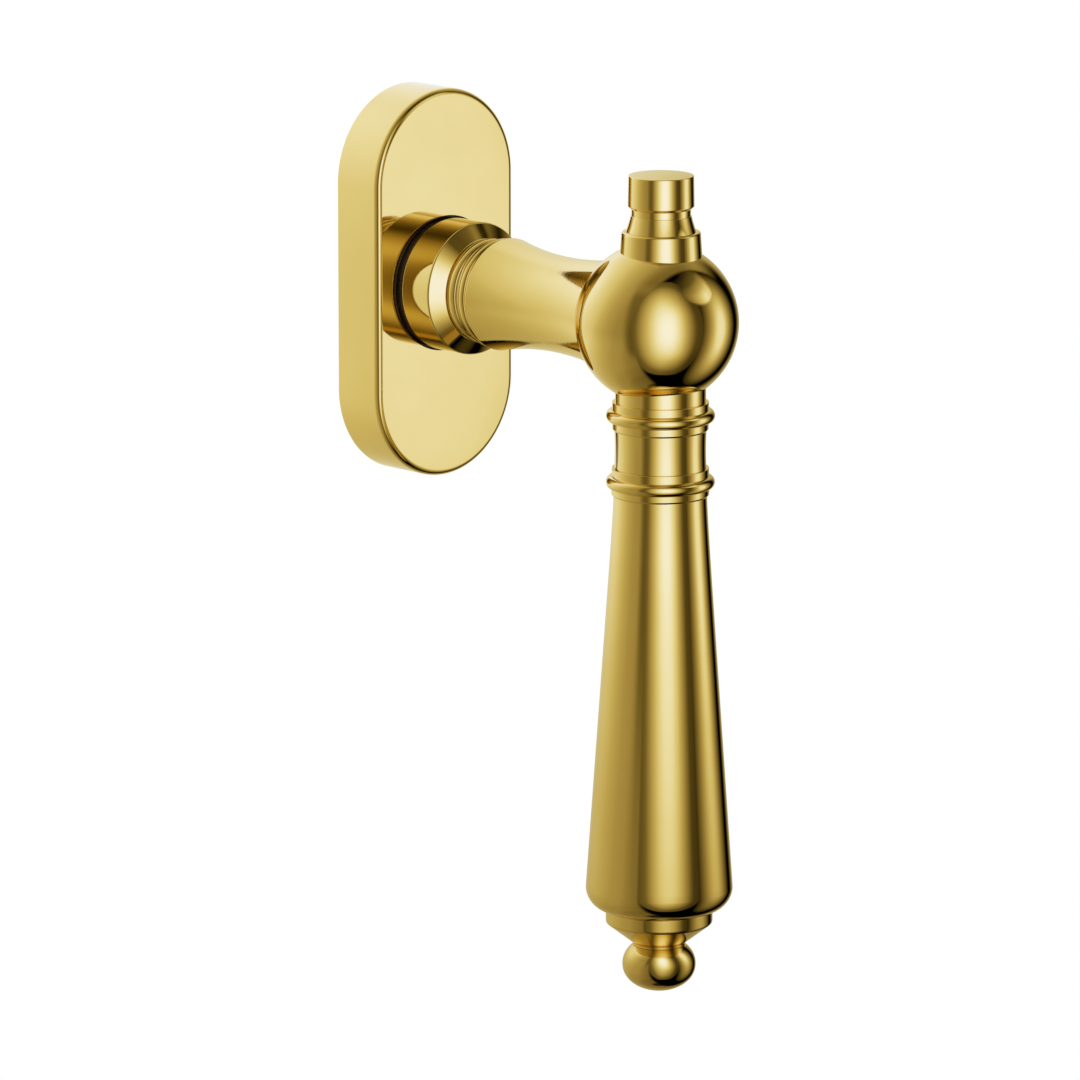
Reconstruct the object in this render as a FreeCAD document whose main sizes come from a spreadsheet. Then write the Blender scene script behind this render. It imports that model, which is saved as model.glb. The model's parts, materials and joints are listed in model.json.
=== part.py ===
"""Brass handle for a tilt-and-turn window, as an assembly of separate pieces.

Frame: millimetres, +Z up. The origin is on the spindle axis at the plane of the window sash.
The sash is the half space Y > 0, and the handle stands out of it along -Y.
A station is a distance out of the sash, so a station of 9 mm lies at Y = -9.
The handle is drawn closed, with its lever hanging down.
"""
import FreeCAD, Part
import math
import operator
import os
import Sketcher

# Driving dimensions, in millimetres unless the note says otherwise

SIZES = {
    # rosette
    "rosette_width": 31.4,
    "rosette_side": 35.4,           # straight part of each long side
    "rosette_depth": 10.0,
    "cover_wall": 1.3,
    "cover_rounding": 1.05,
    "cover_play": 0.15,             # cover to base plate and to bush flange
    "cover_slide_play": 0.15,       # cover hole to drum, on the radius
    "base_thickness": 6.2,
    # fixing
    "screw_spacing": 43.0,
    "lug_diameter": 10.0,
    "lug_length": 10.0,
    "screw_diameter": 5.0,
    "screw_shank_radius": 2.25,
    "screw_length": 45.0,           # over all, head included
    "screw_thread_length": 28.0,
    "screw_head_diameter": 9.2,
    "screw_head_rim": 0.3,
    "screw_play": 0.25,             # on the radius
    "driver_width": 1.1,
    "driver_span": 4.6,
    "driver_depth": 1.7,
    # bearing of the handle in the base plate
    "journal_radius": 8.0,
    "running_play": 0.05,           # on the radius
    "end_play": 0.1,
    "bush_wall": 1.6,
    "bush_sleeve": 2.2,             # part of the bush inside the base plate
    "bush_flange_radius": 12.6,
    "bush_collar_radius": 11.1,
    "bush_standout": 1.08,          # part of the bush in front of the cover
    "seat_play": 0.05,              # between pieces that are assembled and stay
    "stub_radius": 6.3,
    "stub_overhang": 0.25,
    "washer_thickness": 0.4,
    "washer_radius": 8.9,
    "ring_thickness": 0.8,
    "ring_height": 1.2,             # above the stub
    "ring_groove_depth": 0.6,
    "ring_opening": 5.0,
    # click mechanism
    "index_radius": 9.0,
    "index_thickness": 2.2,
    "detent_ball_radius": 1.5,
    "detent_lift": 0.5,
    "detent_play": 0.05,
    "spring_radius": 1.1,           # to the middle of the wire
    "spring_wire": 0.35,            # diameter
    "spring_turns": 6.0,            # a count
    "channel_end": 16.2,            # from the spindle axis
    "retainer_thickness": 0.6,
    "retainer_margin": 0.95,        # to the side of the base plate
    "retainer_side": 5.0,
    "retainer_bore": 8.2,           # radius
    "rivet_radius": 0.9,
    "rivet_length": 3.4,
    "rivet_margin": 1.5,            # from its middle to the side of the retainer plate
    # clips that hold the cover
    "clip_width": 8.0,
    "clip_thickness": 0.4,
    "clip_bow": 0.48,
    "clip_length": 3.9,
    "clip_station": 1.1,
    # drum
    "drum_radius": 11.33,
    "drum_length": 6.5,
    "bevel_length": 1.72,
    "bevel_radius": 8.75,
    # spindle
    "spindle_side": 7.0,
    "spindle_reach": 35.0,          # behind the sash plane
    "spindle_grip": 11.0,           # station of its front end
    "spindle_chamfer": 0.8,
    "pin_radius": 1.25,
    "pin_station": 7.4,
    "stud_radius": 4.0,
    "stud_length": 15.0,
    "stud_in_drum": 6.0,
    "stud_hole_end": 1.0,           # free depth past the stud
    # neck
    "neck_foot_radius": 8.4,
    "neck_foot": 0.15,
    "neck_ring_one_radius": 8.95,
    "neck_ring_one": 1.8,
    "neck_valley_radius": 8.6,
    "neck_valley": 1.15,
    "neck_ring_two_radius": 9.3,
    "neck_ring_two": 1.8,
    "neck_line": 0.8,
    "neck_line_radius": 8.9,
    "neck_root_radius": 9.62,
    "neck_waist_radius": 8.07,
    "neck_waist_distance": 13.75,    # from the thick end of the trumpet
    "neck_end_radius": 9.3,
    "neck_boss_radius": 7.4,
    "neck_boss": 1.7,
    "spigot_radius": 5.0,
    "spigot_length": 12.8,
    # hub
    "hub_radius": 13.65,
    "hub_station": 61.75,
    "lever_offset": 0.9,            # lever axis in front of the centre of the hub
    "hub_flat_radius": 9.35,
    # finial
    "finial_base_radius": 6.87,
    "finial_base_top_radius": 6.6,
    "finial_base_side": 3.85,
    "finial_shoulder": 0.45,
    "flare_radius": 5.85,
    "flare_top_radius": 5.06,
    "flare_length": 2.7,
    "flare_hollow": 0.05,
    "finial_groove_radius": 4.95,
    "finial_groove": 1.15,
    "cap_lower_radius": 5.55,
    "cap_upper_radius": 5.45,
    "cap_chamfer": 0.45,
    "cap_length": 5.57,
    "cap_dome": 0.26,               # rise of the cap's top
    # tie rod
    "rod_radius": 3.0,
    "rod_play": 0.1,
    "rod_in_finial": 7.5,
    "rod_in_knob": 4.5,
    "rod_end_space": 0.5,
    # upper ring of the lever
    "collar_a_radius": 7.58,
    "collar_a": 2.5,
    "collar_b_radius": 8.08,
    "collar_b": 1.3,
    "bead_radius": 9.1,
    "bead": 2.1,
    "collar_c_radius": 8.03,
    "collar_c": 1.4,
    # waist of the lever
    "waist_radius": 7.68,
    "waist_hollow": 0.08,
    "waist_length": 6.4,
    # lower ring of the lever
    "collar_d_radius": 8.13,
    "collar_d": 1.45,
    "collar_e_radius": 8.2,
    "collar_e_low_radius": 8.15,
    "collar_e": 1.2,
    # grip
    "grip_top_radius": 7.8,
    "grip_radius": 12.37,
    "grip_cone": 67.1,
    "grip_rounding": 3.95,
    # end of the lever
    "end_collar_radius": 9.0,
    "end_collar": 2.1,
    "end_collar_rounding": 0.4,
    "end_cone_radius": 4.25,
    "end_cone": 3.35,
    "end_lip_radius": 4.4,
    "end_lip": 0.35,
    "knob_radius": 6.19,
    "knob_half_height": 4.75,
    "knob_flat_radius": 4.5,       # where the end cap sits on the knob
}

doc = FreeCAD.newDocument("window_handle")
sheet = doc.addObject("Spreadsheet::Sheet", "Sizes")
for row, (name, amount) in enumerate(SIZES.items(), start=1):
    sheet.set(f"A{row}", name)
    sheet.set(f"B{row}", str(amount))
    sheet.setAlias(f"B{row}", name)
doc.recompute()


# Sizes as numbers and as sheet formulas

SIGNS = {"+": operator.add, "-": operator.sub, "*": operator.mul, "/": operator.truediv}


class Size:
    """A size, known as a number and as the sheet formula that gives that number."""

    def __init__(self, value, formula):
        self.value = value
        self.formula = formula

    def __add__(self, other):
        return joined(self, "+", other)

    def __radd__(self, other):
        return joined(other, "+", self)

    def __sub__(self, other):
        return joined(self, "-", other)

    def __rsub__(self, other):
        return joined(other, "-", self)

    def __mul__(self, other):
        return joined(self, "*", other)

    def __rmul__(self, other):
        return joined(other, "*", self)

    def __truediv__(self, other):
        return joined(self, "/", other)

    def __neg__(self):
        return joined(0, "-", self)


def as_size(amount):
    """The amount itself if it is a Size, or a constant Size with that number."""
    if isinstance(amount, Size):
        return amount
    return Size(float(amount), str(amount))


def joined(left, sign, right):
    """The Size that a sum, difference, product or quotient gives."""
    left = as_size(left)
    right = as_size(right)
    value = SIGNS[sign](left.value, right.value)
    return Size(value, f"({left.formula} {sign} {right.formula})")


def root(size):
    """The square root of a Size."""
    return Size(math.sqrt(size.value), f"sqrt({size.formula})")


def leg(long_side, short_side):
    """The other short side of a right-angled triangle."""
    return root(long_side * long_side - short_side * short_side)


def bow_radius(chord, rise):
    """The radius of an arc that rises by rise over the middle of its chord."""
    return chord * chord / (8 * rise) + rise / 2


class Sheet:
    """Gives each cell of the sheet as a Size: mm.rosette_width and so on."""

    def __getattr__(self, name):
        return Size(SIZES[name], f"Sizes.{name}")


mm = Sheet()

# Stations and heights that follow from the driving dimensions

bush_front = mm.rosette_depth + mm.bush_standout
bush_flange_front = mm.rosette_depth - mm.cover_wall - mm.cover_play
bush_rear = mm.base_thickness - mm.bush_sleeve
bush_bore = mm.journal_radius + mm.running_play
bush_outer = bush_bore + mm.bush_wall
washer_front = bush_rear - mm.seat_play
index_front = washer_front - mm.washer_thickness
index_rear = index_front - mm.index_thickness
ring_front = index_rear - mm.seat_play
ring_rear = ring_front - mm.ring_thickness
stub_rear = ring_rear - mm.stub_overhang
detent_station = (index_front + index_rear) / 2
drum_rear = bush_front + mm.end_play
bevel_start = drum_rear + mm.drum_length
drum_front = bevel_start + mm.bevel_length
ring_groove_radius = mm.stub_radius - mm.ring_groove_depth
channel_half_width = mm.detent_ball_radius + mm.detent_play
cover_hole = mm.drum_radius + mm.cover_slide_play
pin_hole = mm.pin_radius + mm.seat_play
stud_hole = mm.stud_radius + mm.seat_play
stud_rear = drum_front - mm.stud_in_drum
base_half_width = mm.rosette_width / 2 - mm.cover_wall - mm.cover_play
inner_half_width = mm.rosette_width / 2 - mm.cover_wall
retainer_half_width = base_half_width - mm.retainer_margin
rivet_distance = retainer_half_width - mm.rivet_margin
clip_crest = mm.rosette_side / 2 + leg(inner_half_width, mm.clip_width / 2) - mm.seat_play
clip_floor = clip_crest - mm.clip_bow - mm.clip_thickness

trumpet_start = (drum_front + mm.neck_foot + mm.neck_ring_one + mm.neck_valley
                 + mm.neck_ring_two + mm.neck_line)
hub_flat = mm.hub_station - leg(mm.hub_radius, mm.hub_flat_radius)
neck_end = hub_flat - mm.seat_play
lever_station = mm.hub_station + mm.lever_offset

finial_seat = leg(mm.hub_radius, mm.finial_base_radius + mm.lever_offset)
lever_seat = leg(mm.hub_radius, mm.collar_a_radius + mm.lever_offset)
finial_base_height = mm.finial_base_side + mm.finial_shoulder
upper_ring_length = mm.collar_a + mm.collar_b + mm.bead + mm.collar_c
lower_ring_length = mm.collar_d + mm.bead + mm.collar_e
grip_length = mm.grip_cone + mm.grip_rounding
end_cone_end = mm.end_collar + mm.end_collar_rounding + mm.end_cone
end_cap_length = end_cone_end + mm.end_lip
rod_hole = mm.rod_radius + mm.rod_play
rod_thread_hole = mm.rod_radius + mm.seat_play
waist_drop = lever_seat + upper_ring_length
lower_ring_drop = waist_drop + mm.waist_length
grip_drop = lower_ring_drop + lower_ring_length
end_cap_drop = grip_drop + grip_length
knob_top = end_cap_drop + end_cap_length

nodes = []


# Tools for drawing and cutting

def keep(piece, label, out=0, up=0):
    """Names a finished piece and places it: out of the sash by out, and higher by up."""
    piece.Label = label
    if isinstance(out, Size):
        piece.setExpression("Placement.Base.y", (-out).formula)
    if isinstance(up, Size):
        piece.setExpression("Placement.Base.z", up.formula)
    nodes.append(piece)
    return piece


def new_body(name):
    """An empty body."""
    return doc.addObject("PartDesign::Body", name + "_body")


def new_sketch(body, plane, name, offset=0):
    """A sketch on one of the body's own origin planes, moved along the plane's normal."""
    sketch = body.newObject("Sketcher::SketchObject", name)
    for feature in body.Origin.OriginFeatures:
        if feature.Role == plane + "_Plane":
            sketch.AttachmentSupport = [(feature, "")]
    sketch.MapMode = "FlatFace"
    if isinstance(offset, Size):
        sketch.setExpression("AttachmentOffset.Base.z", offset.formula)
    return sketch


def constrain(sketch, kind, *arguments, size=None):
    """Adds one constraint, whose amount is bound to the sheet where a size is given."""
    if size is None:
        return sketch.addConstraint(Sketcher.Constraint(kind, *arguments))
    index = sketch.addConstraint(Sketcher.Constraint(kind, *arguments, size.value))
    sketch.setExpression(f"Constraints[{index}]", size.formula)
    return index


def pin_point(sketch, geometry, end, across, along):
    """Fixes a point of the sketch at its distances from the sketch's origin."""
    axes = (("DistanceX", across, -2), ("DistanceY", along, -1))
    for kind, amount, axis in axes:
        amount = as_size(amount)
        if amount.value == 0:
            constrain(sketch, "PointOnObject", geometry, end, axis)
        elif amount.value > 0:
            constrain(sketch, kind, -1, 1, geometry, end, size=amount)
        else:
            constrain(sketch, kind, geometry, end, -1, 1, size=-amount)


def sketch_point(across, along):
    """A point of a sketch."""
    return FreeCAD.Vector(as_size(across).value, as_size(along).value, 0)


def circle(sketch, radius, across=0, along=0):
    """Draws a circle about a point of the sketch."""
    curve = Part.Circle(sketch_point(across, along), FreeCAD.Vector(0, 0, 1), radius.value)
    index = sketch.addGeometry(curve, False)
    pin_point(sketch, index, 3, across, along)
    constrain(sketch, "Radius", index, size=radius)


def arc_between(start, stop, radius, outward):
    """An arc that bulges away from the sketch's upright axis or to it, and its two end numbers."""
    chord = stop - start
    normal = FreeCAD.Vector(chord.y, -chord.x, 0).normalize()
    if (normal.x > 0) != outward:
        normal = -normal
    half = chord.Length / 2
    centre = (start + stop) / 2 - normal * math.sqrt(max(radius * radius - half * half, 0.0))
    ring = Part.Circle(centre, FreeCAD.Vector(0, 0, 1), radius)
    from_angle = math.atan2(start.y - centre.y, start.x - centre.x)
    to_angle = math.atan2(stop.y - centre.y, stop.x - centre.x)
    if (to_angle - from_angle) % (2 * math.pi) < math.pi:
        return Part.ArcOfCircle(ring, from_angle, to_angle), 1, 2
    return Part.ArcOfCircle(ring, to_angle, from_angle), 2, 1


def outline(sketch, corners):
    """Draws a closed outline through corners, each (across, along) or (across, along, radius).

    A radius makes an arc of the span that leaves the corner. It bulges away from the sketch's
    upright axis, or towards it where the corner has "in" as a fourth item.
    """
    first = sketch.GeometryCount
    points = [sketch_point(corner[0], corner[1]) for corner in corners]
    ends = []
    for index, corner in enumerate(corners):
        start = points[index]
        stop = points[(index + 1) % len(points)]
        if len(corner) == 2:
            sketch.addGeometry(Part.LineSegment(start, stop), False)
            ends.append((1, 2))
            continue
        curve, begins, finishes = arc_between(start, stop, corner[2].value, len(corner) == 3)
        span = sketch.addGeometry(curve, False)
        ends.append((begins, finishes))
        constrain(sketch, "Radius", span, size=corner[2])
    for index, corner in enumerate(corners):
        after = (index + 1) % len(corners)
        constrain(sketch, "Coincident", first + index, ends[index][1], first + after, ends[after][0])
        pin_point(sketch, first + index, ends[index][0], corner[0], corner[1])


def box_outline(sketch, half_width, low, high):
    """Draws a rectangle with its middle on the sketch's upright axis."""
    outline(sketch, [(-half_width, low), (half_width, low), (half_width, high), (-half_width, high)])


def stadium(sketch, half_width, side):
    """Draws an upright stadium about the sketch's origin: two straight sides and round ends."""
    first = sketch.GeometryCount
    upper = sketch_point(0, side / 2)
    lower = sketch_point(0, -side / 2)
    across = sketch_point(half_width, 0)
    normal = FreeCAD.Vector(0, 0, 1)
    spans = (
        Part.ArcOfCircle(Part.Circle(upper, normal, half_width.value), 0, math.pi),
        Part.LineSegment(upper - across, lower - across),
        Part.ArcOfCircle(Part.Circle(lower, normal, half_width.value), math.pi, 2 * math.pi),
        Part.LineSegment(lower + across, upper + across),
    )
    for span in spans:
        sketch.addGeometry(span, False)
    for index in range(4):
        constrain(sketch, "Tangent", first + index, 2, first + (index + 1) % 4, 1)
    constrain(sketch, "Vertical", first + 3)
    pin_point(sketch, first, 3, 0, side / 2)
    pin_point(sketch, first + 2, 3, 0, -side / 2)
    constrain(sketch, "Radius", first, size=half_width)


def pad(body, sketch, name, length, away=False):
    """Raises a sketch by a length, along the plane's normal or away from it."""
    feature = body.newObject("PartDesign::Pad", name)
    feature.Profile = sketch
    feature.Reversed = away
    feature.setExpression("Length", length.formula)
    return feature


def pocket(body, sketch, name, length=None, along_normal=False):
    """Cuts a sketch out of the body, to a depth on one side or right through on both sides."""
    feature = body.newObject("PartDesign::Pocket", name)
    feature.Profile = sketch
    if length is None:
        feature.Type = "ThroughAll"
        feature.SideType = "Symmetric"
    else:
        feature.Reversed = along_normal
        feature.setExpression("Length", length.formula)
    return feature


def cut_circle(body, plane, name, radius, spots=((0, 0),), offset=0, length=None, inward=False):
    """Cuts round holes at spots (across, along) of a plane."""
    sketch = new_sketch(body, plane, name + "_circle", offset)
    for across, along in spots:
        circle(sketch, radius, across, along)
    return pocket(body, sketch, name, length, along_normal=inward)


def spin(body, sketch):
    """Turns a sketch about its own upright axis into a solid of the body."""
    feature = body.newObject("PartDesign::Revolution", "Turning")
    feature.Profile = sketch
    feature.ReferenceAxis = (sketch, ["V_Axis"])
    feature.Angle = 360.0


def turned(name, direction, corners):
    """A turned body. Its corners are (radius, distance), with arcs as outline() takes them.

    The distance runs out of the sash ("out"), down the lever ("down") or up from the hub ("up").
    """
    body = new_body(name)
    sketch = new_sketch(body, "XY" if direction == "out" else "XZ", name + "_outline")
    placed = []
    for corner in corners:
        along = as_size(corner[1])
        if direction != "up" and along.value != 0:
            along = -along
        placed.append((corner[0], along) + tuple(corner[2:]))
    outline(sketch, placed)
    spin(body, sketch)
    return body


def edges_at(body, axis, level):
    """Names of the body's edges that lie whole in one plane square to the X, Y or Z axis."""
    found = []
    for number, edge in enumerate(body.Shape.Edges, start=1):
        low = getattr(edge.BoundBox, axis + "Min")
        high = getattr(edge.BoundBox, axis + "Max")
        if abs(low - level) < 1e-4 and abs(high - level) < 1e-4:
            found.append(f"Edge{number}")
    return found


def opposite(piece, name):
    """The mirror image of a piece, below the level of the spindle axis."""
    image = doc.addObject("Part::Mirroring", name + "_image")
    image.Source = piece
    image.Normal = FreeCAD.Vector(0, 0, 1)
    return image


def both(piece, name):
    """A piece and its mirror image as one group of two solids."""
    group = doc.addObject("Part::Compound", name + "_pair")
    group.Links = [piece, opposite(piece, name)]
    return group


# Rosette

def cut_base_recesses(body):
    """Cuts the back of the base plate for the click mechanism, and its ends for the clips."""
    recess = new_sketch(body, "XZ", "retainer_recess")
    stadium(recess, retainer_half_width + mm.seat_play, mm.retainer_side)
    recess_depth = mm.retainer_thickness + mm.seat_play
    pocket(body, recess, "RecessCut", recess_depth, along_normal=True)
    channels = new_sketch(body, "XZ", "detent_channels")
    box_outline(channels, channel_half_width, bush_bore, mm.channel_end)
    box_outline(channels, channel_half_width, -mm.channel_end, -bush_bore)
    depth = detent_station + channel_half_width
    pocket(body, channels, "ChannelCut", depth, along_normal=True)
    rivets = [(rivet_distance, 0), (-rivet_distance, 0)]
    rivet_hole = mm.rivet_radius + mm.seat_play
    cut_circle(body, "XZ", "RivetCut", rivet_hole, rivets,
               length=mm.rivet_length + 2 * mm.seat_play, inward=True)
    clips = new_sketch(body, "XZ", "clip_recesses", offset=mm.clip_station - mm.cover_play)
    half_clip = mm.clip_width / 2 + mm.cover_play
    floor = clip_floor - mm.seat_play
    box_outline(clips, half_clip, floor, floor + mm.rosette_width)
    box_outline(clips, half_clip, -floor - mm.rosette_width, -floor)
    pocket(body, clips, "ClipCut", mm.clip_length + 2 * mm.cover_play, along_normal=True)


def drill_screw_holes(body):
    """Drills and countersinks the base plate for its two screws."""
    sketch = new_sketch(body, "XZ", "screw_holes", offset=mm.base_thickness)
    for side in (1, -1):
        circle(sketch, mm.screw_diameter / 2 + mm.screw_play, along=side * mm.screw_spacing / 2)
    doc.recompute()
    drilled = body.newObject("PartDesign::Hole", "ScrewHoles")
    drilled.Profile = sketch
    drilled.DepthType = "ThroughAll"
    drilled.setExpression("Diameter", (mm.screw_diameter + 2 * mm.screw_play).formula)
    drilled.HoleCutType = "Countersink"
    drilled.HoleCutCustomValues = True
    sink = mm.screw_head_diameter + 2 * mm.screw_head_rim + 2 * mm.seat_play
    drilled.setExpression("HoleCutDiameter", sink.formula)
    drilled.HoleCutCountersinkAngle = 90.0


def base_plate():
    """The plate that is screwed to the sash, with its two locating lugs."""
    body = new_body("base_plate")
    plate = new_sketch(body, "XZ", "base_outline")
    stadium(plate, base_half_width, mm.rosette_side)
    pad(body, plate, "BasePad", mm.base_thickness)
    lugs = new_sketch(body, "XZ", "base_lugs")
    for side in (1, -1):
        circle(lugs, mm.lug_diameter / 2, along=side * mm.screw_spacing / 2)
    pad(body, lugs, "LugPad", mm.lug_length, away=True)
    cut_circle(body, "XZ", "BoreCut", bush_outer + mm.seat_play)
    cut_base_recesses(body)
    drill_screw_holes(body)
    return keep(body, "base_plate")


def retainer_plate():
    """The sheet steel plate that keeps the click balls and springs in the base plate."""
    body = new_body("retainer_plate")
    sketch = new_sketch(body, "XZ", "retainer_outline", offset=mm.seat_play)
    stadium(sketch, retainer_half_width, mm.retainer_side)
    circle(sketch, mm.retainer_bore)
    for side in (1, -1):
        circle(sketch, mm.rivet_radius + mm.seat_play, across=side * rivet_distance)
    pad(body, sketch, "RetainerPad", mm.retainer_thickness)
    return keep(body, "retainer_plate")


def retainer_rivets():
    """The two pins that hold the retainer plate."""
    body = new_body("retainer_rivets")
    body.AllowCompound = True
    sketch = new_sketch(body, "XZ", "rivet_outline", offset=mm.seat_play)
    for side in (1, -1):
        circle(sketch, mm.rivet_radius, across=side * rivet_distance)
    pad(body, sketch, "RivetPad", mm.rivet_length)
    return keep(body, "retainer_rivets")


def guide_bush():
    """The dark plastic bush that the handle turns in, with its collar in the cover's hole."""
    return keep(turned("guide_bush", "out", [
        (bush_bore, bush_rear),
        (bush_outer, bush_rear),
        (bush_outer, mm.base_thickness),
        (mm.bush_flange_radius, mm.base_thickness),
        (mm.bush_flange_radius, bush_flange_front),
        (mm.bush_collar_radius, bush_flange_front),
        (mm.bush_collar_radius, bush_front),
        (bush_bore, bush_front),
    ]), "guide_bush")


def rosette_cover():
    """The brass cover that slips over the base plate and hides the screws."""
    body = new_body("rosette_cover")
    outside = new_sketch(body, "XZ", "cover_outline")
    stadium(outside, mm.rosette_width / 2, mm.rosette_side)
    shell = pad(body, outside, "CoverPad", mm.rosette_depth)
    doc.recompute()
    rounding = body.newObject("PartDesign::Fillet", "CoverRounding")
    rounding.Base = (shell, edges_at(body, "Y", -mm.rosette_depth.value))
    rounding.setExpression("Radius", mm.cover_rounding.formula)
    inside = new_sketch(body, "XZ", "cover_inside")
    stadium(inside, inner_half_width, mm.rosette_side)
    pocket(body, inside, "CoverHollow", mm.rosette_depth - mm.cover_wall, along_normal=True)
    cut_circle(body, "XZ", "CoverHole", cover_hole)
    return keep(body, "rosette_cover")


def fixing_screws():
    """The two countersunk screws that hold the base plate to the sash."""
    radius = mm.screw_diameter / 2
    head = mm.screw_head_diameter / 2
    shank = mm.screw_shank_radius
    neck = mm.screw_head_rim + head - shank
    thread_start = mm.screw_length - mm.screw_thread_length
    body = new_body("fixing_screw")
    profile = new_sketch(body, "XY", "screw_outline")
    outline(profile, [
        (0, 0),
        (head, 0),
        (head, mm.screw_head_rim),
        (shank, neck),
        (shank, thread_start),
        (radius, thread_start),
        (radius, mm.screw_length - radius / 2),
        (radius / 2, mm.screw_length),
        (0, mm.screw_length),
    ])
    spin(body, profile)
    for name, wide, high in (("SlotAcross", mm.driver_span, mm.driver_width),
                             ("SlotUp", mm.driver_width, mm.driver_span)):
        slot = new_sketch(body, "XZ", name + "_outline")
        box_outline(slot, wide / 2, -high / 2, high / 2)
        pocket(body, slot, name, mm.driver_depth)
    body.setExpression("Placement.Base.y", (-mm.base_thickness).formula)
    body.setExpression("Placement.Base.z", (mm.screw_spacing / 2).formula)
    return keep(both(body, "fixing_screws"), "fixing_screws")


def cover_clips():
    """The two bowed leaf springs at the ends of the base plate that hold the cover."""
    rise = mm.clip_bow
    near = -mm.clip_station
    far = -(mm.clip_station + mm.clip_length)
    top = clip_floor + mm.clip_thickness
    radius = bow_radius(mm.clip_length, rise)
    body = new_body("cover_clip_upper")
    sketch = new_sketch(body, "YZ", "clip_outline")
    middle = (near + far) / 2
    first = sketch.GeometryCount
    for level in (clip_floor, top):
        centre = sketch_point(middle, level - radius + rise)
        half_angle = math.asin(mm.clip_length.value / 2 / radius.value)
        curve = Part.Circle(centre, FreeCAD.Vector(0, 0, 1), radius.value)
        span = Part.ArcOfCircle(curve, math.pi / 2 - half_angle, math.pi / 2 + half_angle)
        index = sketch.addGeometry(span, False)
        pin_point(sketch, index, 1, near, level)
        pin_point(sketch, index, 2, far, level)
        constrain(sketch, "Radius", index, size=radius)
    for end, station in ((1, near), (2, far)):
        line = Part.LineSegment(sketch_point(station, clip_floor), sketch_point(station, top))
        index = sketch.addGeometry(line, False)
        constrain(sketch, "Coincident", index, 1, first, end)
        constrain(sketch, "Coincident", index, 2, first + 1, end)
    leaf = pad(body, sketch, "ClipPad", mm.clip_width)
    leaf.SideType = "Symmetric"
    keep(body, "cover_clip_upper")
    keep(opposite(body, "cover_clip_lower"), "cover_clip_lower")


# Click mechanism

def detents():
    """The two balls that click into the index disc, and the springs behind them."""
    lifted = mm.index_radius + mm.detent_play + mm.detent_ball_radius
    ball = doc.addObject("Part::Sphere", "detent_ball")
    ball.setExpression("Radius", mm.detent_ball_radius.formula)
    ball.setExpression("Placement.Base.y", (-detent_station).formula)
    ball.setExpression("Placement.Base.z", lifted.formula)
    keep(ball, "detent_ball_upper")
    keep(opposite(ball, "detent_ball_lower"), "detent_ball_lower")
    wire = mm.spring_wire / 2
    seat = lifted + leg(mm.detent_ball_radius, mm.spring_radius) + wire + mm.detent_play
    length = mm.channel_end - mm.detent_play - wire - seat
    coil = doc.addObject("Part::Helix", "spring_coil")
    coil.setExpression("Radius", mm.spring_radius.formula)
    coil.setExpression("Height", length.formula)
    coil.setExpression("Pitch", (length / mm.spring_turns).formula)
    section = doc.addObject("Part::Circle", "spring_section")
    section.setExpression("Radius", wire.formula)
    section.setExpression("Placement.Base.x", mm.spring_radius.formula)
    section.Placement.Rotation = FreeCAD.Rotation(FreeCAD.Vector(1, 0, 0), 90)
    spring = doc.addObject("Part::Sweep", "detent_spring")
    spring.Sections = [section]
    spring.Spine = (coil, ["Edge1"])
    spring.Solid = True
    spring.Frenet = True
    spring.setExpression("Placement.Base.y", (-detent_station).formula)
    spring.setExpression("Placement.Base.z", seat.formula)
    keep(spring, "detent_spring_upper")
    keep(opposite(spring, "detent_spring_lower"), "detent_spring_lower")


def index_disc():
    """The notched disc on the handle's stub, with a notch at every quarter turn."""
    body = new_body("index_disc")
    disc = new_sketch(body, "XZ", "index_outline", offset=index_rear)
    circle(disc, mm.index_radius)
    circle(disc, mm.stub_radius + mm.seat_play)
    pad(body, disc, "IndexPad", mm.index_thickness)
    reach = mm.index_radius + mm.detent_ball_radius + mm.detent_play - mm.detent_lift
    notch = cut_circle(body, "XZ", "Notch", mm.detent_ball_radius + mm.detent_play, [(0, reach)])
    pattern = body.newObject("PartDesign::PolarPattern", "NotchPattern")
    pattern.Originals = [notch]
    pattern.Axis = (disc, ["N_Axis"])
    pattern.Angle = 360.0
    pattern.Occurrences = 4
    body.Tip = pattern
    return keep(body, "index_disc")


def thrust_washer():
    """The washer between the index disc and the bush."""
    body = new_body("thrust_washer")
    sketch = new_sketch(body, "XZ", "washer_outline", offset=index_front)
    circle(sketch, mm.washer_radius)
    circle(sketch, mm.stub_radius + mm.seat_play)
    pad(body, sketch, "WasherPad", mm.washer_thickness)
    return keep(body, "thrust_washer")


def retaining_ring():
    """The open ring in the stub's groove that keeps the handle in the rosette."""
    body = new_body("retaining_ring")
    sketch = new_sketch(body, "XZ", "ring_outline", offset=ring_rear)
    circle(sketch, mm.stub_radius + mm.ring_height)
    circle(sketch, ring_groove_radius + mm.seat_play)
    pad(body, sketch, "RingPad", mm.ring_thickness)
    opening = new_sketch(body, "XZ", "ring_opening")
    box_outline(opening, mm.ring_opening / 2, 0, mm.stub_radius + 2 * mm.ring_height)
    pocket(body, opening, "RingOpening")
    return keep(body, "retaining_ring")


# Drum, spindle and neck

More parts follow.
